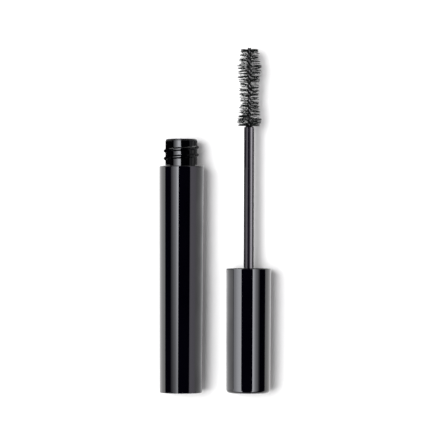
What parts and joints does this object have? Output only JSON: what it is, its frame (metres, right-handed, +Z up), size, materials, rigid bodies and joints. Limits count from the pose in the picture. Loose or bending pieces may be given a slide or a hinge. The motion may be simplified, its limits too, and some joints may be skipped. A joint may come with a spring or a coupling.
{
  "type": "mascara tube with applicator",
  "caption": "Glossy cylindrical mascara tube with a threaded neck and wiper, and its separate screw cap with a wand and an hourglass brush lying beside it.",
  "frame": {"origin": "centre of the tube's flat base, on the tube's axis; the tube and the applicator lie side by side, so the table is 8.3 mm below it", "axes": "+Y along the tube from its base to its neck, +X from the tube to the applicator, +Z up from the table they lie on"},
  "size_m": [0.0416, 0.1275, 0.0166],
  "materials": {
    "black_lacquer": "high gloss black, as lacquered or polished mould",
    "black_neck": "gloss black moulded plastic",
    "wiper_plastic": "soft black polyethylene, slightly waxy",
    "liner_plastic": "satin black moulded plastic",
    "base_plastic": "satin black moulded plastic",
    "label_paper": "plain matt film label without text",
    "seal_foam": "matt closed-cell foam",
    "steel": "plain turned steel",
    "wire": "thin drawn steel wire, darkened by paste",
    "fibre": "nylon fibres, dark greenish black",
    "paste": "wet black paste, about the density of water"
  },
  "bodies": {
    "tube": {"outer_sleeve": "black_lacquer", "inner_bottle": "black_neck", "wiper": "wiper_plastic", "base_plug": "base_plastic", "shade_label": "label_paper"},
    "paste_in_tube": {"mascara_formula": "paste"},
    "paste_on_brush": {"formula_on_brush": "paste"},
    "seal": {"cap_seal": "seal_foam"},
    "applicator": {"outer_cap": "black_lacquer", "inner_cap": "liner_plastic", "cap_weight": "steel", "wand_rod": "black_neck", "wire_strand_a": "wire", "wire_strand_b": "wire", "bristles": "fibre"}
  },
  "joints": [
    {"name": "thread_travel", "type": "slide", "parent": "tube", "child": "paste_in_tube", "axis": [0, -1, 0], "range_m": [0, 0.0042], "deforming": ["mascara_formula"]},
    {"name": "turn_over", "type": "hinge", "parent": "paste_in_tube", "child": "paste_on_brush", "pos_m": [0.0125, 0.11257, 0], "axis": [0, 0, 1], "range_deg": [0, 180], "deforming": ["formula_on_brush"]},
    {"name": "insert", "type": "slide", "parent": "paste_on_brush", "child": "seal", "axis": [0, 1, 0], "range_m": [0, 0.091], "deforming": ["bristles"]},
    {"name": "screw_on", "type": "hinge", "parent": "seal", "child": "applicator", "pos_m": [0.025, 0, 0], "axis": [0, 1, 0], "range_deg": [0, 540]}
  ],
  "couplings": [
    {"joint": "thread_travel", "follows": "screw_on", "m_per_rad": 0.00044563}
  ]
}
